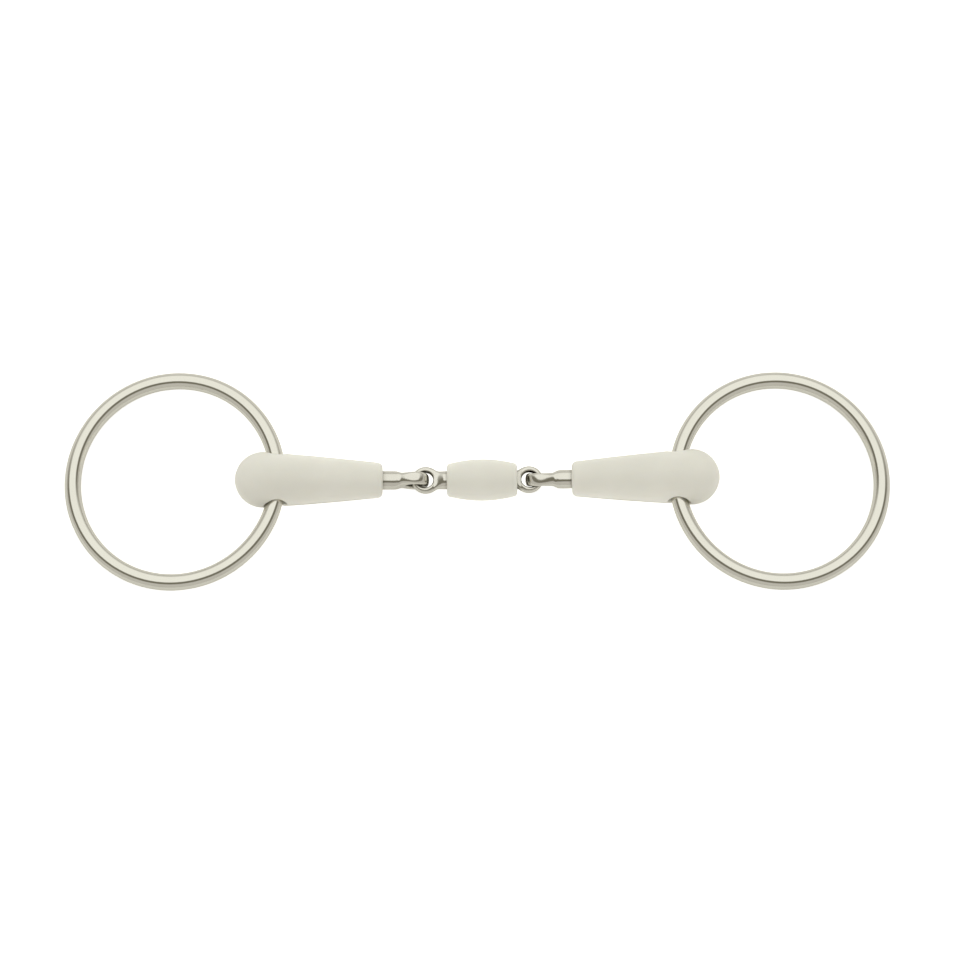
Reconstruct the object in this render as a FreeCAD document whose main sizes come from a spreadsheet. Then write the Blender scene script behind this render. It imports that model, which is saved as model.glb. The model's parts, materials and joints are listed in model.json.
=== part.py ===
import FreeCAD, Part
import os
import Sketcher

# Double-jointed loose-ring snaffle bit, lying flat. Millimetres.
# X runs along the mouthpiece, Y across the lying rings, Z up from the surface that it lies on.
# Each arm's pieces are drawn with their origin at the arm's fold axis and +X towards the ring.
# The joint eyes of the arms stand upright, and the middle link's eyes lie flat.

DIMENSIONS = {
    # loose rings
    "ring_wire": 5.5,
    "ring_mean": 34.25,
    "ring_inset": 0.56,
    "ring_slide": 0.6,
    # arms
    "arm_pivot": 20.8,
    "bulb_radius": 9.2,
    "bulb_reach": 50.0,
    "bore_reach": 45.7,
    "sleeve_start": 10.5,
    "sleeve_neck": 5.9,
    "sleeve_taper": 3.4,
    "sleeve_rounding": 1.75,
    "mouth_radius": 3.7,
    "mouth_rounding": 0.7,
    # steel cores of the arms
    "rod_radius": 3.1,
    "rod_end": 2.6,
    "rod_shoulder": 6.9,
    "flat_start": 5.0,
    "eye_hole": 2.7,
    "arm_eye_shoulder": 3.5,
    "arm_eye_crown": 2.4,
    "arm_eye_width": 4.2,
    "eye_rounding": 0.85,
    "eye_edge": 0.75,
    "left_eye_set": 0,
    "right_eye_set": 14,
    "key_depth": 0.6,
    "key_width": 2.4,
    "key_first": 20.0,
    "key_second": 31.0,
    "bore_eye_radius": 6.4,
    "bore_eye_width": 6.0,
    # how far a cutting outline stands clear of what it cuts
    "cut_margin": 0.3,
    # bushes that line the ring holes
    "liner_hole": 3.5,
    "liner_radius": 4.32,
    "liner_length": 11.0,
    "liner_rounding": 0.3,
    "liner_clearance": 0.08,
    "liner_end_gap": 0.1,
    # middle link and its barrel
    "link_eye_centre": 17.2,
    "link_eye_radius": 4.5,
    "link_eye_width": 3.2,
    "link_shoulder": 9.4,
    "link_flat_start": 12.8,
    "barrel_radius": 6.85,
    "barrel_end": 5.6,
    "barrel_half": 11.6,
    "barrel_rounding": 1.3,
    "barrel_offset": 1.57,
    "barrel_clearance": 0.08,
}

doc = FreeCAD.newDocument("snaffle_bit")
sheet = doc.addObject("Spreadsheet::Sheet", "dims")
for row, (name, value) in enumerate(DIMENSIONS.items(), start=1):
    sheet.set(f"A{row}", name)
    sheet.set(f"B{row}", str(value))
    sheet.setAlias(f"B{row}", name)
doc.recompute()

# The arms rise from the barrel to the bulbs, and the rings fall from the bulbs to the surface.
ARM_TILT = "asin((dims.bulb_radius - dims.barrel_radius) / dims.bulb_reach)"
BORE_RISE = "dims.bore_reach * (dims.bulb_radius - dims.barrel_radius) / dims.bulb_reach"
RING_TILT = (f"asin((dims.barrel_radius + {BORE_RISE} - dims.ring_wire / 2)"
             " / (2 * dims.ring_mean - dims.ring_inset))")


def origin_plane(body, role):
    """One of a body's own origin planes."""
    return [feature for feature in body.Origin.OriginFeatures if feature.Role == role][0]


def bind(sketch, constraint, expression):
    """Adds a constraint whose value follows an expression."""
    index = sketch.addConstraint(constraint)
    sketch.setExpression(f"Constraints[{index}]", expression)


def outline(body, name, plane, corners, shift="0", roll="0"):
    """A sketch of one closed outline on an origin plane, moved along X by shift and rolled about X.

    Each corner is (x, y), or (x, y, bend) where the edge that leaves it is an arc of that radius.
    The arc's centre is on the left of the edge, or on the right if bend starts with a minus sign.
    """
    sketch = body.newObject("Sketcher::SketchObject", name)
    sketch.AttachmentSupport = [(origin_plane(body, plane), "")]
    sketch.MapMode = "FlatFace"
    sketch.AttachmentOffset = FreeCAD.Placement(FreeCAD.Vector(), FreeCAD.Vector(1, 0, 0), 1)
    sketch.setExpression("AttachmentOffset.Base.x", shift)
    sketch.setExpression("AttachmentOffset.Rotation.Angle", roll)
    places = [[float(sketch.evalExpression(value)) for value in corner[:2]] for corner in corners]
    points = [FreeCAD.Vector(across, along, 0) for across, along in places]
    edges = []
    for index, corner in enumerate(corners):
        start = points[index]
        end = points[(index + 1) % len(points)]
        if len(corner) == 2:
            edges.append((sketch.addGeometry(Part.LineSegment(start, end)), 1, 2))
            continue
        bend = float(sketch.evalExpression(corner[2]))
        chord = end - start
        left = FreeCAD.Vector(-chord.y, chord.x, 0).normalize()
        height = (bend**2 - chord.Length**2 / 4) ** 0.5
        centre = (start + end) / 2 + left * height * (1 if bend > 0 else -1)
        first, last = (start, end) if bend > 0 else (end, start)
        turns = [FreeCAD.Vector(1, 0, 0).getAngle(point - centre) * (1 if point.y >= centre.y else -1)
                 for point in (first, last)]
        circle = Part.Circle(centre, FreeCAD.Vector(0, 0, 1), abs(bend))
        arc = sketch.addGeometry(Part.ArcOfCircle(circle, turns[0], turns[1]))
        edges.append((arc, 1, 2) if bend > 0 else (arc, 2, 1))
        bind(sketch, Sketcher.Constraint("Radius", arc, abs(bend)), f"abs({corner[2]})")
    for index, (edge, start_point, end_point) in enumerate(edges):
        following = edges[(index + 1) % len(edges)]
        sketch.addConstraint(Sketcher.Constraint("Coincident", edge, end_point, following[0], following[1]))
        across = Sketcher.Constraint("DistanceX", -1, 1, edge, start_point, points[index].x)
        bind(sketch, across, corners[index][0])
        along = Sketcher.Constraint("DistanceY", -1, 1, edge, start_point, points[index].y)
        bind(sketch, along, corners[index][1])
    doc.recompute()
    return sketch


def turn(body, name, sketch, axis, kind="PartDesign::Revolution"):
    """Turns an outline a full circle about one of its sketch's axes, adding or cutting material."""
    before = body.Shape.Volume if body.Tip else 0.0
    feature = body.newObject(kind, name)
    feature.Profile = sketch
    feature.ReferenceAxis = (sketch, [axis])
    feature.Angle = 360
    sketch.Visibility = False
    doc.recompute()
    change = body.Shape.Volume - before
    if (change > 0) != (kind == "PartDesign::Revolution"):
        raise RuntimeError(f"{body.Label}: {name} changed the volume by {change}")
    return feature


def flatten(body, name, plane, shoulder, flat, tip, half_width, roll="0"):
    """Forges an end's two cheeks flat, by cutting all that stands over half_width off the plane's X axis.

    The cheeks run flat from the tip, beyond the rod's end, and sweep up to the shoulder in a hollow.
    """
    above = "(dims.rod_radius + dims.cut_margin)"
    run = f"(({shoulder}) - ({flat}))"
    rise = f"({above} - {half_width})"
    hollow = f"({run}^2 + {rise}^2) / (2 * {rise})"
    for cheek, up in (("upper", 1), ("lower", -1)):
        turning = up if float(body.evalExpression(flat)) > float(body.evalExpression(shoulder)) else -up
        corners = [
            (shoulder, f"{up} * {above}", f"{turning} * ({hollow})"),
            (flat, f"{up} * ({half_width})"),
            (tip, f"{up} * ({half_width})"),
            (tip, f"{up} * {above}"),
        ]
        sketch = outline(body, f"{name}_{cheek}_outline", plane, corners, roll=roll)
        before = body.Shape.Volume
        pocket = body.newObject("PartDesign::Pocket", f"{name}_{cheek}")
        pocket.Profile = sketch
        pocket.SideType = "Symmetric"
        pocket.setExpression("Length", f"2 * {above}")
        sketch.Visibility = False
        doc.recompute()
        if body.Shape.Volume >= before:
            raise RuntimeError(f"{body.Label}: {name} cut nothing")


def rounded_section(inner, outer, half_width, rounding):
    """The section of an eye: a rectangle from radius inner to outer with rounded corners."""
    return [
        (f"{inner} + {rounding}", f"-({half_width})"),
        (f"{outer} - {rounding}", f"-({half_width})", rounding),
        (outer, f"-({half_width}) + {rounding}"),
        (outer, f"{half_width} - {rounding}", rounding),
        (f"{outer} - {rounding}", half_width),
        (f"{inner} + {rounding}", half_width, rounding),
        (inner, f"{half_width} - {rounding}"),
        (inner, f"-({half_width}) + {rounding}", rounding),
    ]


def new_body(label):
    """An empty body whose label names its node."""
    body = doc.addObject("PartDesign::Body", label)
    body.Label = label
    return body


def place_on_arm(body, side, reach="0"):
    """Puts a piece on the left or right arm, reach along it from the fold axis."""
    facing = 180 if side == "left" else 0
    fold_x = "-dims.arm_pivot" if side == "left" else "dims.arm_pivot"
    body.setExpression("Placement", " * ".join([
        f"placement(vector({fold_x}; 0; dims.barrel_radius); rotation(vector(0; 0; 1); {facing}))",
        f"placement(vector(0; 0; 0); rotation(vector(0; 1; 0); -{ARM_TILT}))",
        f"placement(vector({reach}; 0; 0); rotation(vector(0; 1; 0); 0))",
    ]))


def rod_outline(start, last_corners):
    """Half section of an arm core's rod, from start to the wall of the ring hole's eye and back."""
    end = "dims.bore_reach - (dims.bore_eye_radius + dims.liner_radius) / 2"
    corners = [(start, "0"), (end, "0"), (end, "dims.rod_radius")]
    for key in ("dims.key_second", "dims.key_first"):
        corners += [
            (f"{key} + dims.key_width", "dims.rod_radius"),
            (f"{key} + dims.key_width", "dims.rod_radius - dims.key_depth"),
            (key, "dims.rod_radius - dims.key_depth"),
            (key, "dims.rod_radius"),
        ]
    return corners + last_corners


def arm_core(side):
    """Forged steel core: the joint eye, the bare stub, the keyed rod and the eye round the ring hole."""
    body = new_body(f"{side}_core")
    eye_wall = "(dims.arm_eye_shoulder + dims.eye_rounding / 2)"
    rod_end = [("dims.flat_start", "dims.rod_radius"), (eye_wall, "dims.rod_end")]
    rod = outline(body, f"{side}_rod_section", "XZ_Plane", rod_outline(eye_wall, rod_end))
    turn(body, f"{side}_rod", rod, "H_Axis")
    roll = f"dims.{side}_eye_set"
    half_width = "dims.arm_eye_width / 2"
    flatten(body, f"{side}_cheek", "XY_Plane", "dims.rod_shoulder", "dims.flat_start", "dims.eye_hole",
            half_width, roll)
    inner, rounding = "dims.eye_hole", "dims.eye_edge"
    section = [
        (f"{inner} + {rounding}", f"-({half_width})"),
        ("dims.arm_eye_shoulder", f"-({half_width})", "dims.arm_eye_crown"),
        ("dims.arm_eye_shoulder", half_width),
        (f"{inner} + {rounding}", half_width, rounding),
        (inner, f"{half_width} - {rounding}"),
        (inner, f"-({half_width}) + {rounding}", rounding),
    ]
    joint_eye = outline(body, f"{side}_joint_eye_section", "XY_Plane", section, roll=roll)
    turn(body, f"{side}_joint_eye", joint_eye, "V_Axis")
    wall = "dims.liner_radius + dims.liner_clearance"
    half = "dims.bore_eye_width / 2"
    eye_walls = [(wall, f"-({half})"), ("dims.bore_eye_radius", f"-({half})"),
                 ("dims.bore_eye_radius", half), (wall, half)]
    ring_eye = outline(body, f"{side}_ring_eye_section", "XY_Plane", eye_walls, shift="dims.bore_reach")
    turn(body, f"{side}_ring_eye", ring_eye, "V_Axis")
    place_on_arm(body, side)
    return body


def arm_sleeve(side):
    """Plastic sleeve moulded on the core: round bulb, long taper, and a cross hole for the ring."""
    body = new_body(f"{side}_sleeve")
    edge = "dims.sleeve_start + dims.sleeve_rounding"
    waist = "dims.bulb_radius * cos(dims.sleeve_taper)"
    crown = "(dims.bulb_reach - dims.bulb_radius * sin(dims.sleeve_taper))"
    run = f"({crown} - {edge})"
    rise = f"({waist} - dims.sleeve_neck)"
    back = (f"({run}^2 + {rise}^2) / (2 * ({rise} * cos(dims.sleeve_taper)"
            f" - {run} * sin(dims.sleeve_taper)))")
    profile = [
        ("dims.sleeve_start", "0"),
        ("dims.bulb_reach + dims.bulb_radius", "0", "dims.bulb_radius"),
        (crown, waist, back),
        (edge, "dims.sleeve_neck", "dims.sleeve_rounding"),
        ("dims.sleeve_start", "dims.sleeve_neck - dims.sleeve_rounding"),
    ]
    turn(body, f"{side}_outside", outline(body, f"{side}_outside_section", "XZ_Plane", profile), "H_Axis")
    start = "dims.sleeve_start"
    rod = outline(body, f"{side}_rod_space", "XZ_Plane", rod_outline(start, [(start, "dims.rod_radius")]))
    turn(body, f"{side}_rod_cavity", rod, "H_Axis", "PartDesign::Groove")
    eye_half = "dims.bore_eye_width / 2"
    liner_wall = "dims.liner_radius + dims.liner_clearance"
    liner_half = "(dims.liner_length / 2 + dims.liner_end_gap)"
    beyond = "(dims.bulb_radius + dims.cut_margin)"
    hole = [
        ("0", f"-{beyond}"), ("dims.mouth_radius", f"-{beyond}"),
        ("dims.mouth_radius", f"-{liner_half}"), (liner_wall, f"-{liner_half}"),
        (liner_wall, f"-({eye_half})"), ("dims.bore_eye_radius", f"-({eye_half})"),
        ("dims.bore_eye_radius", eye_half), (liner_wall, eye_half),
        (liner_wall, liner_half), ("dims.mouth_radius", liner_half),
        ("dims.mouth_radius", beyond), ("0", beyond),
    ]
    space = outline(body, f"{side}_ring_hole_section", "XY_Plane", hole, shift="dims.bore_reach")
    bore = turn(body, f"{side}_ring_hole", space, "V_Axis", "PartDesign::Groove")
    chamber_end = DIMENSIONS["liner_length"] / 2 + 2 * DIMENSIONS["liner_end_gap"]
    reach = DIMENSIONS["mouth_radius"] + DIMENSIONS["liner_clearance"]
    rims = []
    for number, rim in enumerate(bore.Shape.Edges, start=1):
        box = rim.BoundBox
        outside = box.YMin > chamber_end or box.YMax < -chamber_end
        near_hole = max(DIMENSIONS["bore_reach"] - box.XMin, box.XMax - DIMENSIONS["bore_reach"]) < reach
        if outside and near_hole and box.ZLength > box.YLength:
            rims.append(f"Edge{number}")
    rounding = body.newObject("PartDesign::Fillet", f"{side}_mouth_rounding")
    rounding.Base = (bore, rims)
    rounding.setExpression("Radius", "dims.mouth_rounding")
    doc.recompute()
    place_on_arm(body, side)
    return body


def hole_liner(side):
    """Steel bush, loose in the core's outer eye, that the ring's wire runs through."""
    body = new_body(f"{side}_liner")
    half = "dims.liner_length / 2"
    section = rounded_section("dims.liner_hole", "dims.liner_radius", half, "dims.liner_rounding")
    turn(body, f"{side}_bush", outline(body, f"{side}_bush_section", "XY_Plane", section), "V_Axis")
    place_on_arm(body, side, reach="dims.bore_reach")
    return body


def loose_ring(side):
    """Ring of round wire, bent through the ring hole and welded shut, lying slid a little through it."""
    body = new_body(f"{side}_ring")
    sketch = body.newObject("Sketcher::SketchObject", f"{side}_wire_section")
    sketch.AttachmentSupport = [(origin_plane(body, "XZ_Plane"), "")]
    sketch.MapMode = "FlatFace"
    middle = FreeCAD.Vector(DIMENSIONS["ring_mean"], 0, 0)
    wire = sketch.addGeometry(Part.Circle(middle, FreeCAD.Vector(0, 0, 1), DIMENSIONS["ring_wire"] / 2))
    bind(sketch, Sketcher.Constraint("Radius", wire, DIMENSIONS["ring_wire"] / 2), "dims.ring_wire / 2")
    bind(sketch, Sketcher.Constraint("DistanceX", -1, 1, wire, 3, middle.x), "dims.ring_mean")
    bind(sketch, Sketcher.Constraint("DistanceY", -1, 1, wire, 3, 0), "0")
    doc.recompute()
    turn(body, f"{side}_wire", sketch, "V_Axis")
    facing = 180 if side == "left" else 0
    sign = "-" if side == "left" else ""
    bore_x = f"{sign}(dims.arm_pivot + dims.bore_reach * cos({ARM_TILT}))"
    bore_z = f"dims.barrel_radius + {BORE_RISE}"
    centre_x = "dims.ring_mean - dims.ring_inset"
    body.setExpression("Placement", " * ".join([
        f"placement(vector({bore_x}; 0; {bore_z}); rotation(vector(0; 0; 1); {facing}))",
        f"placement(vector(0; 0; 0); rotation(vector(0; 1; 0); {RING_TILT}))",
        f"placement(vector({centre_x}; -dims.ring_slide; 0); rotation(vector(0; 0; 1); 0))",
    ]))
    return body


def link_core():
    """Forged steel link: a round shaft for the barrel and a flat eye at each end."""
    body = new_body("link_core")
    eye_wall = "(dims.link_eye_centre - (dims.eye_hole + dims.link_eye_radius) / 2)"
    shaft = [
        (f"-{eye_wall}", "0"), (eye_wall, "0"), (eye_wall, "dims.rod_end"),
        ("dims.link_flat_start", "dims.rod_radius"), ("-dims.link_flat_start", "dims.rod_radius"),
        (f"-{eye_wall}", "dims.rod_end"),
    ]
    turn(body, "link_shaft", outline(body, "link_shaft_section", "XZ_Plane", shaft), "H_Axis")
    half = "dims.link_eye_width / 2"
    section = rounded_section("dims.eye_hole", "dims.link_eye_radius", half, "dims.eye_rounding")
    for end, sign in (("right", ""), ("left", "-")):
        flatten(body, f"{end}_cheek", "XZ_Plane", f"{sign}dims.link_shoulder", f"{sign}dims.link_flat_start",
                f"{sign}(dims.link_eye_centre - dims.eye_hole)", half)
        eye = outline(body, f"{end}_eye_section", "XZ_Plane", section, shift=f"{sign}dims.link_eye_centre")
        turn(body, f"{end}_eye", eye, "V_Axis")
    body.setExpression("Placement.Base.z", "dims.barrel_radius")
    return body


def link_barrel():
    """Plastic barrel, loose on the link's shaft: crowned outside, plain bore."""
    body = new_body("barrel")
    crown_half = "(dims.barrel_half - dims.barrel_rounding)"
    swell = "(dims.barrel_radius - dims.barrel_end)"
    crown = f"({crown_half}^2 + {swell}^2) / (2 * {swell})"
    bore = "dims.rod_radius + dims.barrel_clearance"
    profile = [
        ("-dims.barrel_half", bore), ("dims.barrel_half", bore),
        ("dims.barrel_half", "dims.barrel_end - dims.barrel_rounding", "dims.barrel_rounding"),
        (crown_half, "dims.barrel_end", crown),
        (f"-{crown_half}", "dims.barrel_end", "dims.barrel_rounding"),
        ("-dims.barrel_half", "dims.barrel_end - dims.barrel_rounding"),
    ]
    turn(body, "barrel_outside", outline(body, "barrel_section", "XZ_Plane", profile), "H_Axis")
    body.setExpression("Placement.Base.x", "dims.barrel_offset")
    body.setExpression("Placement.Base.z", "dims.barrel_radius")
    return body


subparts = [link_core(), link_barrel()]
for side in ("left", "right"):
    subparts += [arm_core(side), arm_sleeve(side), hole_liner(side), loose_ring(side)]
doc.recompute()

for thing in doc.Objects:
    if "Invalid" in thing.State or "Error" in thing.State:
        raise RuntimeError(f"{thing.Label} did not compute: {thing.State}")
for body in subparts:
    if body.Shape.isNull() or not body.Shape.isValid() or len(body.Shape.Solids) != 1:
        raise RuntimeError(f"{body.Label} is not one valid solid")

os.makedirs("parts", exist_ok=True)
for body in subparts:
    body.Shape.exportStep(f"parts/{body.Label}.step")
    print(body.Label, round(body.Shape.Volume, 1), body.Shape.BoundBox)
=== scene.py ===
import json
import math

import bmesh
import bpy
from mathutils import Matrix, Vector


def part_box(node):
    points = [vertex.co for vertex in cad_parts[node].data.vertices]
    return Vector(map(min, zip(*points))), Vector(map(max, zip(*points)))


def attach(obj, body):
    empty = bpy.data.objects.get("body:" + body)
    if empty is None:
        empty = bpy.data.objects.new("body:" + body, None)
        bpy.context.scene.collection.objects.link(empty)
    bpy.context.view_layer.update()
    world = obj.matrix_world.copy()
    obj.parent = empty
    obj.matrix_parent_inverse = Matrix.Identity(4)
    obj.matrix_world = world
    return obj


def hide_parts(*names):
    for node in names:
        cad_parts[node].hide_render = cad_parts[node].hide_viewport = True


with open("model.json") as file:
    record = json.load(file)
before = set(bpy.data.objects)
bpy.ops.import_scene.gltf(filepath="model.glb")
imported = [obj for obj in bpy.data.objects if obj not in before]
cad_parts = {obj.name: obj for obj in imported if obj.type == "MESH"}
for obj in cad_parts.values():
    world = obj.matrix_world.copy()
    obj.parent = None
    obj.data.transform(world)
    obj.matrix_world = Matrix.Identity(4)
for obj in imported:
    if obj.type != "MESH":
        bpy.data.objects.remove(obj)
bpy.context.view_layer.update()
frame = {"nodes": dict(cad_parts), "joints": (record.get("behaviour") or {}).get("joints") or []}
bpy.context.scene.view_settings.view_transform = "Standard"


# Loose rings. Each is one length of round stainless wire, bent through its ring hole, welded shut and
# mirror polished. The weld is dressed flush, so all that tells it apart is a faint waist in the wire.
mm = 0.001
wire_radius = 2.75 * mm
sides = ("left", "right")
joints = {joint["name"]: joint for joint in frame["joints"]}
ring_segments = 240
wire_segments = 40
weld_turns = {"left": math.radians(205), "right": math.radians(-25)}
weld_length = math.radians(1.6)
weld_depth = 0.05 * mm


def show(name, shape, material, body, node=None):
    """Makes a smooth mesh piece of a bmesh on its body, in place of a CAD node if one is given."""
    mesh = bpy.data.meshes.new(name)
    bmesh.ops.recalc_face_normals(shape, faces=shape.faces[:])
    shape.to_mesh(mesh)
    shape.free()
    mesh.polygons.foreach_set("use_smooth", [True] * len(mesh.polygons))
    mesh.materials.append(material)
    piece = bpy.data.objects.new(name, mesh)
    bpy.context.scene.collection.objects.link(piece)
    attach(piece, body)
    if node:
        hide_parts(node)
    return piece


def group_input(group, kind, name, value):
    """Adds one named input, with its default, to a shader node group."""
    socket = group.interface.new_socket(name=name, in_out="INPUT", socket_type=kind)
    socket.default_value = value


def handling_wear_group():
    """Fine crossed polishing hairlines and soft unevenness, for every metal and plastic surface."""
    group = bpy.data.node_groups.new("handling_wear", "ShaderNodeTree")
    group_input(group, "NodeSocketFloat", "Grain Scale", 900.0)
    group_input(group, "NodeSocketFloat", "Hairline Scale", 260.0)
    group_input(group, "NodeSocketFloat", "Hairline Amount", 0.5)
    for name in ("Grain", "Hairlines", "Patches"):
        group.interface.new_socket(name=name, in_out="OUTPUT", socket_type="NodeSocketFloat")
    nodes, links = group.nodes, group.links
    inputs = nodes.new("NodeGroupInput")
    outputs = nodes.new("NodeGroupOutput")
    place = nodes.new("ShaderNodeTexCoord")

    grain = nodes.new("ShaderNodeTexNoise")
    grain.inputs["Detail"].default_value = 4
    links.new(place.outputs["Object"], grain.inputs["Vector"])
    links.new(inputs.outputs["Grain Scale"], grain.inputs["Scale"])
    links.new(grain.outputs["Fac"], outputs.inputs["Grain"])

    patches = nodes.new("ShaderNodeTexNoise")
    patches.inputs["Scale"].default_value = 90
    patches.inputs["Detail"].default_value = 2
    links.new(place.outputs["Object"], patches.inputs["Vector"])
    links.new(patches.outputs["Fac"], outputs.inputs["Patches"])

    stretch = nodes.new("ShaderNodeMapping")
    stretch.inputs["Rotation"].default_value = (0.3, 0.2, 0.7)
    stretch.inputs["Scale"].default_value = (1, 14, 14)
    links.new(place.outputs["Object"], stretch.inputs["Vector"])
    lines = nodes.new("ShaderNodeTexNoise")
    lines.inputs["Detail"].default_value = 3
    links.new(stretch.outputs["Vector"], lines.inputs["Vector"])
    links.new(inputs.outputs["Hairline Scale"], lines.inputs["Scale"])
    sharpen = nodes.new("ShaderNodeMapRange")
    sharpen.inputs["From Min"].default_value = 0.58
    sharpen.inputs["From Max"].default_value = 0.72
    links.new(lines.outputs["Fac"], sharpen.inputs["Value"])
    amount = nodes.new("ShaderNodeMath")
    amount.operation = "MULTIPLY"
    links.new(sharpen.outputs["Result"], amount.inputs[0])
    links.new(inputs.outputs["Hairline Amount"], amount.inputs[1])
    links.new(amount.outputs["Value"], outputs.inputs["Hairlines"])
    return group


handling_wear = handling_wear_group()


def nook_painted_shade_group():
    """A mask of painted shade, which darkens the colour where surfaces stand close together."""
    group = bpy.data.node_groups.new("nook_painted_shade", "ShaderNodeTree")
    group_input(group, "NodeSocketFloat", "Amount", 0.5)
    group.interface.new_socket(name="Painted Shade", in_out="OUTPUT", socket_type="NodeSocketFloat")
    nodes, links = group.nodes, group.links
    inputs = nodes.new("NodeGroupInput")
    outputs = nodes.new("NodeGroupOutput")
    # Ambient occlusion sets the painted shade: the nearer other surfaces stand, the darker the colour.
    nook = nodes.new("ShaderNodeAmbientOcclusion")
    nook.samples = 12
    nook.inputs["Distance"].default_value = 3.0 * mm
    gathered = nodes.new("ShaderNodeMapRange")
    gathered.inputs["From Min"].default_value = 0.8
    gathered.inputs["From Max"].default_value = 0.3
    links.new(nook.outputs["AO"], gathered.inputs["Value"])
    amount = nodes.new("ShaderNodeMath")
    amount.operation = "MULTIPLY"
    links.new(gathered.outputs["Result"], amount.inputs[0])
    links.new(inputs.outputs["Amount"], amount.inputs[1])
    links.new(amount.outputs["Value"], outputs.inputs["Painted Shade"])
    return group


nook_painted_shade = nook_painted_shade_group()


# The dark colour of the painted shade in nooks and between parts.
painted_shade_tone = (0.12, 0.11, 0.085)
hairline_roughness = 0.16


def polished_steel(name, bright, dull, roughness, hairlines, unevenness, painted_shade=0.0):
    """Stainless steel in two near greys, with hairlines in its gloss, a slight wave, and painted shade
    darkening its nooks.
    """
    material = bpy.data.materials.new(name)
    material.use_nodes = True
    nodes, links = material.node_tree.nodes, material.node_tree.links
    surface = nodes["Principled BSDF"]
    surface.inputs["Metallic"].default_value = 1.0
    wear = nodes.new("ShaderNodeGroup")
    wear.node_tree = handling_wear
    wear.inputs["Hairline Amount"].default_value = hairlines
    tone = nodes.new("ShaderNodeMix")
    tone.data_type = "RGBA"
    tone.inputs["A"].default_value = (*bright, 1)
    tone.inputs["B"].default_value = (*dull, 1)
    links.new(wear.outputs["Patches"], tone.inputs["Factor"])
    # Painted shade: the base colour mixes towards the dark tone where surfaces stand close together.
    nook_shade = nodes.new("ShaderNodeGroup")
    nook_shade.node_tree = nook_painted_shade
    nook_shade.inputs["Amount"].default_value = painted_shade
    shaded_tone = nodes.new("ShaderNodeMix")
    shaded_tone.data_type = "RGBA"
    shaded_tone.inputs["B"].default_value = (*painted_shade_tone, 1)
    links.new(nook_shade.outputs["Painted Shade"], shaded_tone.inputs["Factor"])
    links.new(tone.outputs["Result"], shaded_tone.inputs["A"])
    links.new(shaded_tone.outputs["Result"], surface.inputs["Base Color"])
    gloss = nodes.new("ShaderNodeMapRange")
    gloss.inputs["To Min"].default_value = roughness
    gloss.inputs["To Max"].default_value = roughness + hairline_roughness
    links.new(wear.outputs["Hairlines"], gloss.inputs["Value"])
    links.new(gloss.outputs["Result"], surface.inputs["Roughness"])
    height = nodes.new("ShaderNodeMath")
    height.operation = "ADD"
    links.new(wear.outputs["Grain"], height.inputs[0])
    links.new(wear.outputs["Patches"], height.inputs[1])
    bump = nodes.new("ShaderNodeBump")
    bump.inputs["Strength"].default_value = unevenness
    bump.inputs["Distance"].default_value = 0.1 * mm
    links.new(height.outputs["Value"], bump.inputs["Height"])
    links.new(bump.outputs["Normal"], surface.inputs["Normal"])
    return material


ring_steel = polished_steel(
    "ring_steel", bright=(0.74, 0.725, 0.665), dull=(0.69, 0.675, 0.615),
    roughness=0.10, hairlines=0.5, unevenness=0.05,
)


def loose_ring(side):
    """A torus of wire about its running axis, at rest on the frame, with the weld's faint waist."""
    run = joints[f"{side}_ring_run"]
    centre = Vector(run["pos_m"])
    lean = Vector((0, 0, 1)).rotation_difference(Vector(run["axis"])).to_matrix()
    low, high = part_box(f"{side}_ring")
    mean = (high[1] - low[1]) / 2 - wire_radius
    shape = bmesh.new()
    loops = []
    for step in range(ring_segments):
        turn = math.tau * step / ring_segments
        from_weld = math.remainder(turn - weld_turns[side], math.tau) / weld_length
        radius = wire_radius - weld_depth * math.exp(-from_weld * from_weld)
        loop = []
        for stop in range(wire_segments):
            around = math.tau * stop / wire_segments
            reach = mean + radius * math.cos(around)
            point = Vector((reach * math.cos(turn), reach * math.sin(turn), radius * math.sin(around)))
            loop.append(shape.verts.new(centre + lean @ point))
        loops.append(loop)
    for step, loop in enumerate(loops):
        following = loops[(step + 1) % ring_segments]
        for stop in range(wire_segments):
            after = (stop + 1) % wire_segments
            shape.faces.new((loop[stop], following[stop], following[after], loop[after]))
    return show(f"{side}_ring_wire", shape, ring_steel, f"{side}_ring", f"{side}_ring")


for side in sides:
    loose_ring(side)


# Ring-hole bushes. Each is a turned stainless bush, loose in the arm core's outer eye, and hidden in the
# bulb but for what shows down the ring hole.
# The bushes get a middling amount of painted shade in their nooks.
liner_steel = polished_steel(
    "liner_steel", bright=(0.60, 0.59, 0.55), dull=(0.50, 0.49, 0.46),
    roughness=0.25, hairlines=0.6, unevenness=0.1, painted_shade=0.5,
)
for side in sides:
    bush = frame["nodes"][f"{side}_liner"]
    bush.material_slots[0].material = liner_steel


# Arm sleeves. Each is off-white plastic moulded over its steel core: a round bulb, a long taper, and a
# cross hole for the ring. Its skin is matt from the mould, and the mould's halves leave a faint line.
scuff_roughness = 0.2
flash_width = 0.16 * mm
flash_height = 0.045 * mm
on_axis = 0.001 * mm


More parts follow.
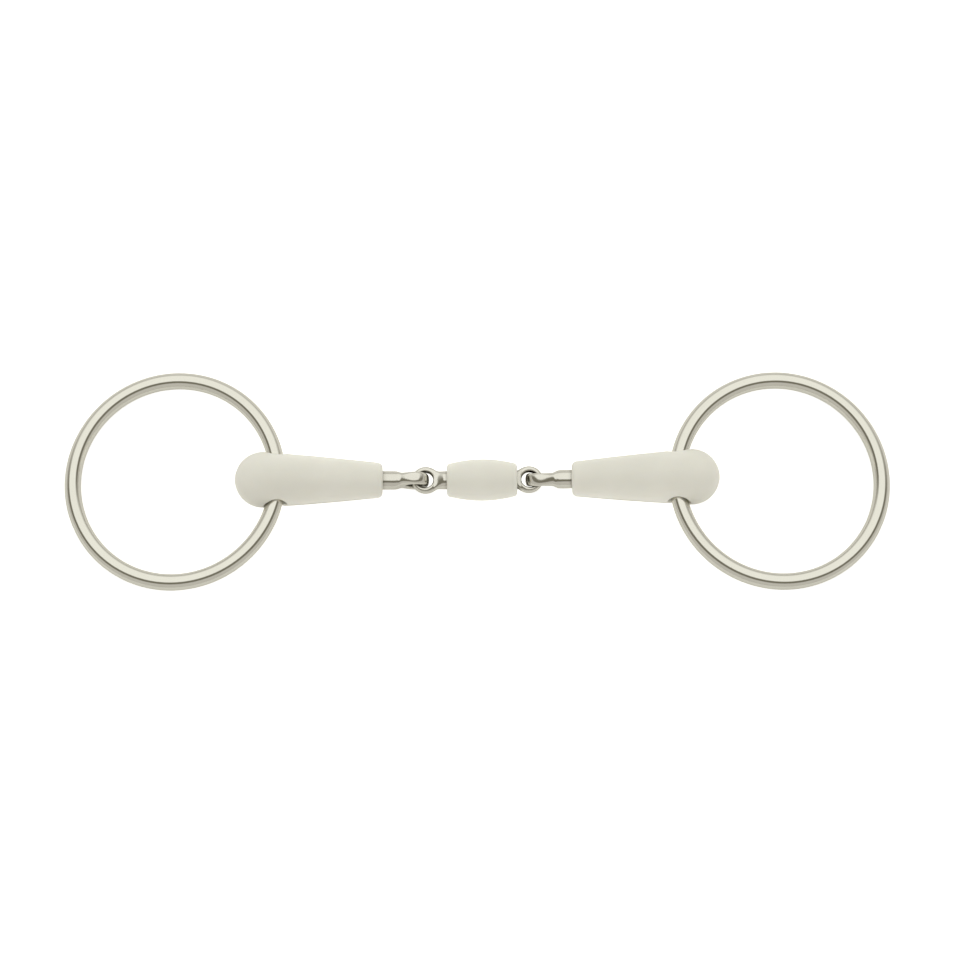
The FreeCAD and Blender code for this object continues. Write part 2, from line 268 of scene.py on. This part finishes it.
def moulded_plastic(name, pale, deep, roughness):
    """Off-white moulded plastic with faint warm clouds, a frosted skin and a few dull scuffs."""
    material = bpy.data.materials.new(name)
    material.use_nodes = True
    nodes, links = material.node_tree.nodes, material.node_tree.links
    surface = nodes["Principled BSDF"]
    surface.inputs["Specular IOR Level"].default_value = 0.35
    surface.inputs["Subsurface Weight"].default_value = 0.12
    surface.inputs["Subsurface Radius"].default_value = (1.0, 0.8, 0.5)
    surface.inputs["Subsurface Scale"].default_value = 1.5 * mm
    wear = nodes.new("ShaderNodeGroup")
    wear.node_tree = handling_wear
    wear.inputs["Grain Scale"].default_value = 3200.0
    wear.inputs["Hairline Scale"].default_value = 180.0
    wear.inputs["Hairline Amount"].default_value = 0.6
    clouds = nodes.new("ShaderNodeMapRange")
    clouds.inputs["From Min"].default_value = 0.3
    clouds.inputs["From Max"].default_value = 0.7
    links.new(wear.outputs["Patches"], clouds.inputs["Value"])
    tone = nodes.new("ShaderNodeMix")
    tone.data_type = "RGBA"
    tone.inputs["A"].default_value = (*pale, 1)
    tone.inputs["B"].default_value = (*deep, 1)
    links.new(clouds.outputs["Result"], tone.inputs["Factor"])
    links.new(tone.outputs["Result"], surface.inputs["Base Color"])
    gloss = nodes.new("ShaderNodeMapRange")
    gloss.inputs["To Min"].default_value = roughness
    gloss.inputs["To Max"].default_value = roughness + scuff_roughness
    links.new(wear.outputs["Hairlines"], gloss.inputs["Value"])
    links.new(gloss.outputs["Result"], surface.inputs["Roughness"])
    bump = nodes.new("ShaderNodeBump")
    bump.inputs["Strength"].default_value = 0.4
    bump.inputs["Distance"].default_value = 0.05 * mm
    links.new(wear.outputs["Grain"], bump.inputs["Height"])
    links.new(bump.outputs["Normal"], surface.inputs["Normal"])
    return material


def arm_place(side):
    """The arm's own frame: its fold axis, with local +X along the arm towards the ring."""
    fold = Vector(joints[f"{side}_arm_fold"]["pos_m"])
    swing = Vector(joints[f"{side}_ring_swing"]["pos_m"])
    along = (swing - fold).normalized()
    across = Vector((0, 0, 1)).cross(along).normalized()
    axes = Matrix((along, across, along.cross(across))).transposed().to_4x4()
    return Matrix.Translation(fold) @ axes


def flash_line(name, outline, place, body, material):
    """A faint raised line where the mould's halves met. It follows an outline of (x, y) points."""
    shape = bmesh.new()
    sections = []
    for step, (along, out) in enumerate(outline):
        before, after = outline[max(step - 1, 0)], outline[min(step + 1, len(outline) - 1)]
        run = Vector((after[0] - before[0], after[1] - before[1])).normalized()
        outward = Vector((-run.y, run.x))
        if outward.y * out < 0 or (abs(out) < on_axis and outward.x < 0):
            outward = -outward
        rise = 0.0 if step in (0, len(outline) - 1) else flash_height
        section = []
        for sideways, height in ((-flash_width, -flash_height), (0.0, rise), (flash_width, -flash_height)):
            at = Vector((along + outward.x * height, out + outward.y * height, sideways))
            section.append(shape.verts.new(place @ at))
        sections.append(section)
    for here, there in zip(sections, sections[1:]):
        for strip in (0, 1, 2):
            following = (strip + 1) % 3
            shape.faces.new((here[strip], here[following], there[following], there[strip]))
    for end in (sections[0], sections[-1]):
        shape.faces.new(end)
    return show(name, shape, material, body)


sleeve_plastic = moulded_plastic(
    "sleeve_plastic", pale=(0.812, 0.80, 0.738), deep=(0.777, 0.765, 0.703), roughness=0.5,
)
bulb_radius = 9.2 * mm
bulb_reach = 50.0 * mm
bore_reach = 45.7 * mm
taper = math.radians(3.4)
mouth_reach = 4.6 * mm
neck_start, neck_radius = 12.25 * mm, 5.9 * mm
taper_steps = 24
nose_steps = 40
for side in sides:
    frame["nodes"][f"{side}_sleeve"].material_slots[0].material = sleeve_plastic
    place = arm_place(side)
    crown = (bulb_reach - bulb_radius * math.sin(taper), bulb_radius * math.cos(taper))
    run, rise = crown[0] - neck_start, crown[1] - neck_radius
    back = (run * run + rise * rise) / (2 * (rise * math.cos(taper) - run * math.sin(taper)))
    back_centre = (crown[0] + back * math.sin(taper), crown[1] - back * math.cos(taper))
    taper_line = []
    for step in range(taper_steps + 1):
        along = neck_start + (bore_reach - mouth_reach - neck_start) * step / taper_steps
        taper_line.append((along, back_centre[1] + math.sqrt(back**2 - (along - back_centre[0]) ** 2)))
    nose_start = math.acos((bore_reach + mouth_reach - bulb_reach) / bulb_radius)
    nose_line = []
    for step in range(nose_steps + 1):
        turn = nose_start * (1 - 2 * step / nose_steps)
        nose_line.append((bulb_reach + bulb_radius * math.cos(turn), bulb_radius * math.sin(turn)))
    flash_line(f"{side}_sleeve_seam_back", taper_line, place, f"{side}_arm", sleeve_plastic)
    front = [(along, -out) for along, out in taper_line]
    flash_line(f"{side}_sleeve_seam_front", front, place, f"{side}_arm", sleeve_plastic)
    flash_line(f"{side}_sleeve_seam_nose", nose_line, place, f"{side}_arm", sleeve_plastic)


# Arm cores. Each is a stainless forging: a small eye that links with the middle link, a bare stub, then a
# rod and a bigger eye moulded into the sleeve. The cheeks of the eyes are forged flat and run out in hollows.
# The cores and the link get the most painted shade, which darkens the steel where the eyes lie close inside
# each other.
core_steel = polished_steel(
    "core_steel", bright=(0.74, 0.725, 0.67), dull=(0.64, 0.62, 0.565),
    roughness=0.13, hairlines=0.8, unevenness=0.16, painted_shade=0.9,
)
eye_steps = 12
section_points = 8
side_point = section_points // 4
inner_share = 0.4
inner_fullness = 0.85


def smoothing_shrink(neighbours):
    """The share of its reach that a cage's point keeps when smoothed, given its neighbours' share."""
    return (4 + 2 * neighbours) / 6


section_neighbours = 0.8
bend_shrink = smoothing_shrink(math.cos(math.tau / eye_steps))
section_shrink = smoothing_shrink(section_neighbours)


def forged_eye(shape, place, hole, outer, half_width, fullness, mouth_steps):
    """A cage for an eye round local Y that opens towards local +X over some of its steps.

    Fullness is how far the section's outer corners stand out: 0.71 is round and 1 is square. Returns the
    loop round the mouth.
    """
    middle = hole + (outer - hole) * inner_share
    verts = {}
    for step in range(eye_steps):
        turn = math.tau * (step - (mouth_steps - 1) / 2) / eye_steps - math.tau / eye_steps / 2
        for point in range(section_points):
            around = math.tau * point / section_points
            outward = math.cos(around)
            wall = (outer - middle) if outward > 0 else (middle - hole)
            corner = (fullness if outward > 0 else inner_fullness) * math.sqrt(2) if point % 2 else 1.0
            reach = (middle + wall * corner * outward / section_shrink) / bend_shrink
            across = half_width * corner * math.sin(around) / section_shrink
            at = Vector((reach * math.cos(turn), across, reach * math.sin(turn)))
            verts[step, point] = shape.verts.new(place @ at)
    opened = {(step, point % section_points)
              for step in range(mouth_steps) for point in range(-side_point, side_point)}
    for step in range(eye_steps):
        for point in range(section_points):
            if (step, point) not in opened:
                after, beside = (step + 1) % eye_steps, (point + 1) % section_points
                corners = (step, point), (after, point), (after, beside), (step, beside)
                shape.faces.new([verts[key] for key in corners])
    front = (1, 0, section_points - 1)
    rim = [(step, side_point) for step in range(mouth_steps + 1)] + [(mouth_steps, point) for point in front]
    rim += [(step, section_points - side_point) for step in range(mouth_steps, -1, -1)]
    rim += [(0, point) for point in reversed(front)]
    for step in range(1, mouth_steps):
        for point in front:
            shape.verts.remove(verts.pop((step, point)))
    return [verts[key] for key in rim]


def join_loops(shape, loop, following):
    """Faces between two loops of the same count."""
    for here in range(len(loop)):
        after = (here + 1) % len(loop)
        shape.faces.new((loop[here], loop[after], following[after], following[here]))


def forged_shank(shape, place, loop, stations, mouth_steps):
    """Carries an eye's mouth along local X. Each station is (x, half height, half width, roll, roundness).

    Roundness 1 is an ellipse, and less is squarer. Returns the last loop.
    """
    count = len(loop)
    shrink = smoothing_shrink(math.cos(math.tau / count))
    for along, tall, wide, roll, roundness in stations:
        following = []
        for point in range(count):
            turn = math.tau * (point - mouth_steps / 2) / count
            across = math.copysign(abs(math.cos(turn)) ** roundness, math.cos(turn))
            up = math.copysign(abs(math.sin(turn)) ** roundness, math.sin(turn))
            at = Vector((along, wide * across / shrink, tall * up / shrink))
            following.append(shape.verts.new(place @ Matrix.Rotation(roll, 4, "X") @ at))
        join_loops(shape, loop, following)
        loop = following
    return loop


def close_on(shape, loop, far_loop, mouth_steps):
    """Joins a shank's end to the mouth of an eye that faces it."""
    join_loops(shape, loop, far_loop[mouth_steps::-1] + far_loop[:mouth_steps:-1])


def smooth_forging(piece):
    """Rounds a cage into its forged shape."""
    rounding = piece.modifiers.new("forged_shape", "SUBSURF")
    rounding.levels = 3
    rounding.render_levels = 3


# An eye is (hole radius, outer radius, half width, fullness). A neck's rows are (x, half height, half width,
# roundness) and a groove's are (distance past its start, depth), all but roundness in millimetres.
rod = 3.1 * mm
arm_mouth = 5
joint_eye = (2.65 * mm, 4.9 * mm, 2.1 * mm, 0.84)
ring_eye = (4.45 * mm, 6.4 * mm, 3.0 * mm, 0.9)
arm_neck = (4.0, 3.85, 2.15, 0.6), (4.8, 3.45, 2.5, 0.75), (5.6, 3.35, 2.95, 0.85)
groove_starts = (20 * mm, 31 * mm)
groove = (-0.3, 0), (0, 0), (0.1, 0.6), (2.3, 0.6), (2.4, 0), (2.7, 0)
for side in sides:
    place = arm_place(side)
    bore = (Vector(joints[f"{side}_ring_swing"]["pos_m"]) - place.translation).length
    local_axis = place.to_3x3().inverted() @ Vector(joints[f"{side}_arm_fold"]["axis"])
    roll = math.remainder(math.atan2(local_axis.z, local_axis.y), math.pi)
    set_eye = Matrix.Rotation(roll, 4, "X")
    shape = bmesh.new()
    loop = forged_eye(shape, place @ set_eye, *joint_eye, arm_mouth)
    stations = [(x * mm, tall * mm, wide * mm, roll, roundness) for x, tall, wide, roundness in arm_neck]
    stations += [(x * mm, rod, rod, roll, 1) for x in (6.4, 8.5)]
    stations.append((14 * mm, rod, rod, roll / 2, 1))
    for start in groove_starts:
        for step, depth in groove:
            stations.append((start + step * mm, rod - depth * mm, rod - depth * mm, 0, 1))
    stations += [(bore - 10 * mm, rod, rod, 0, 1), (bore - 7.5 * mm, rod, rod, 0, 1)]
    loop = forged_shank(shape, place, loop, stations, arm_mouth)
    far = place @ Matrix.Translation((bore, 0, 0)) @ Matrix.Rotation(math.pi, 4, "Y")
    close_on(shape, loop, forged_eye(shape, far, *ring_eye, arm_mouth), arm_mouth)
    piece = show(f"{side}_core_forging", shape, core_steel, f"{side}_arm", f"{side}_core")
    smooth_forging(piece)


# Middle link. One stainless forging: a round shaft that the barrel turns on, and a flat eye at each end,
# set at right angles to the arm eyes that run through them.
low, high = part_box("link_core")
link_middle = (Vector(low) + Vector(high)) / 2
link_eye_radius = 4.5 * mm
link_eye = (2.6 * mm, link_eye_radius, 1.6 * mm, 0.78)
link_neck = (2.6, 3.9, 1.6, 0.6), (3.2, 3.5, 1.62, 0.6), (3.9, 2.95, 1.75, 0.65), (5.3, 2.9, 2.4, 0.75)
link_mouth = 5
eye_out = (high[0] - low[0]) / 2 - link_eye_radius
shaft_clearance = 0.03 * mm
shaft = rod - shaft_clearance
stand = Matrix.Rotation(math.pi / 2, 4, "X")
to_eye = Vector((eye_out, 0, 0))
right_end = Matrix.Translation(link_middle + to_eye) @ Matrix.Rotation(math.pi, 4, "Z") @ stand
left_end = Matrix.Translation(link_middle - to_eye) @ stand
shape = bmesh.new()
loop = forged_eye(shape, left_end, *link_eye, link_mouth)
shank = [(x * mm, tall * mm, wide * mm, 0, roundness) for x, tall, wide, roundness in link_neck]
shank += [(x, shaft, shaft, 0, 1) for x in (6.3 * mm, 9 * mm, eye_out)]
shank += [(2 * eye_out - x, *section) for x, *section in reversed(shank[:-1])]
loop = forged_shank(shape, left_end, loop, shank, link_mouth)
close_on(shape, loop, forged_eye(shape, right_end, *link_eye, link_mouth), link_mouth)
link_piece = show("link_forging", shape, core_steel, "link", "link_core")
smooth_forging(link_piece)


# Barrel. Off-white plastic like the sleeves, crowned, and loose on the link's shaft. It keeps its solid, and
# takes the sleeves' material.
frame["nodes"]["barrel"].material_slots[0].material = sleeve_plastic


# Studio. A white table with a glow of its own, under a soft box and in a pale tent that is brighter above.
# One dark gap in the tent, darkest at its open front, gives the polished steel its single dark line.
table_reach = 6
base_glow, camera_glow, diffuse_glow = 0.15, 0.6, 0.7
shape = bmesh.new()
bmesh.ops.create_grid(shape, x_segments=1, y_segments=1, size=table_reach)
table_mesh = bpy.data.meshes.new("table")
shape.to_mesh(table_mesh)
shape.free()
table = bpy.data.objects.new("table", table_mesh)
bpy.context.scene.collection.objects.link(table)
table_white = bpy.data.materials.new("table_white")
table_white.use_nodes = True
nodes, links = table_white.node_tree.nodes, table_white.node_tree.links
surface = nodes["Principled BSDF"]
surface.inputs["Base Color"].default_value = (0.78, 0.775, 0.745, 1)
surface.inputs["Roughness"].default_value = 0.9
surface.inputs["Specular IOR Level"].default_value = 0.1
surface.inputs["Emission Color"].default_value = (1, 1, 1, 1)
path = nodes.new("ShaderNodeLightPath")
for_camera = nodes.new("ShaderNodeMath")
for_camera.operation = "MULTIPLY_ADD"
for_camera.inputs[1].default_value = camera_glow
for_camera.inputs[2].default_value = base_glow
links.new(path.outputs["Is Camera Ray"], for_camera.inputs[0])
for_diffuse = nodes.new("ShaderNodeMath")
for_diffuse.operation = "MULTIPLY_ADD"
for_diffuse.inputs[1].default_value = diffuse_glow
links.new(path.outputs["Is Diffuse Ray"], for_diffuse.inputs[0])
links.new(for_camera.outputs["Value"], for_diffuse.inputs[2])
links.new(for_diffuse.outputs["Value"], surface.inputs["Emission Strength"])
table_mesh.materials.append(table_white)

tent = bpy.data.worlds.new("tent")
bpy.context.scene.world = tent
tent.use_nodes = True
nodes, links = tent.node_tree.nodes, tent.node_tree.links


def eased(value, start, end, first, last):
    """Eases from a first level to a last one as a value goes from start to end."""
    step = nodes.new("ShaderNodeMapRange")
    step.interpolation_type = "SMOOTHSTEP"
    for name, number in (("From Min", start), ("From Max", end), ("To Min", first), ("To Max", last)):
        step.inputs[name].default_value = number
    links.new(value, step.inputs["Value"])
    return step.outputs["Result"]


def blended(factor, first, second):
    """Mixes two colours, where the first may be a socket."""
    mix = nodes.new("ShaderNodeMix")
    mix.data_type = "RGBA"
    links.new(factor, mix.inputs["Factor"])
    if isinstance(first, tuple):
        mix.inputs["A"].default_value = (*first, 1)
    else:
        links.new(first, mix.inputs["A"])
    mix.inputs["B"].default_value = (*second, 1)
    return mix.outputs["Result"]


gap_lean = math.radians(26.6)
gap_middle = 0.55
gap_half = 0.185
gap_edge = 0.04
gap_tone = (0.23, 0.218, 0.175)
low_cloth, high_cloth = (0.66, 0.645, 0.6), (1.12, 1.12, 1.06)
direction = nodes.new("ShaderNodeTexCoord").outputs["Generated"]
toward = nodes.new("ShaderNodeVectorMath")
toward.operation = "DOT_PRODUCT"
toward.inputs[1].default_value = (0, math.sin(gap_lean), math.cos(gap_lean))
links.new(direction, toward.inputs[0])
off_gap = nodes.new("ShaderNodeMath")
off_gap.operation = "SUBTRACT"
off_gap.inputs[1].default_value = gap_middle
links.new(toward.outputs["Value"], off_gap.inputs[0])
far_off = nodes.new("ShaderNodeMath")
far_off.operation = "ABSOLUTE"
links.new(off_gap.outputs["Value"], far_off.inputs[0])
in_gap = eased(far_off.outputs["Value"], gap_half - gap_edge, gap_half + gap_edge, first=1.0, last=0.0)
axes = nodes.new("ShaderNodeSeparateXYZ")
links.new(direction, axes.inputs["Vector"])
at_front = eased(axes.outputs["Y"], start=0.1, end=0.6, first=1.0, last=0.3)
darkness = nodes.new("ShaderNodeMath")
darkness.operation = "MULTIPLY"
links.new(in_gap, darkness.inputs[0])
links.new(at_front, darkness.inputs[1])
height = eased(off_gap.outputs["Value"], start=-0.1, end=0.1, first=0.0, last=1.0)
cloth = blended(height, low_cloth, high_cloth)
tent_colour = blended(darkness.outputs["Value"], cloth, gap_tone)
links.new(tent_colour, nodes["Background"].inputs["Color"])


def fill_light(name, at, size, power):
    """A soft box that lights the plastic and the table but doesn't show in the steel."""
    data = bpy.data.lights.new(name, "AREA")
    data.size = size
    data.energy = power
    box = bpy.data.objects.new(name, data)
    box.location = at
    box.rotation_euler = (-Vector(at)).to_track_quat("-Z", "Y").to_euler()
    box.visible_glossy = False
    bpy.context.scene.collection.objects.link(box)


fill_light("overhead_fill", at=(0, -0.02, 1.6), size=1.5, power=4)

camera_data = bpy.data.cameras.new("camera")
camera_data.lens = 130.5
camera_data.sensor_width = 36
camera = bpy.data.objects.new("camera", camera_data)
bpy.context.scene.collection.objects.link(camera)
looks_at = Vector((0.9 * mm, 0, 6.9 * mm))
distance = 1.15
elevation = math.radians(76)
off_square = Matrix.Rotation(math.radians(-0.42), 3, "Z")
camera.location = looks_at + distance * (off_square @ Vector((0, -math.cos(elevation), math.sin(elevation))))
camera.rotation_euler = (looks_at - camera.location).to_track_quat("-Z", "Y").to_euler()
bpy.context.scene.camera = camera
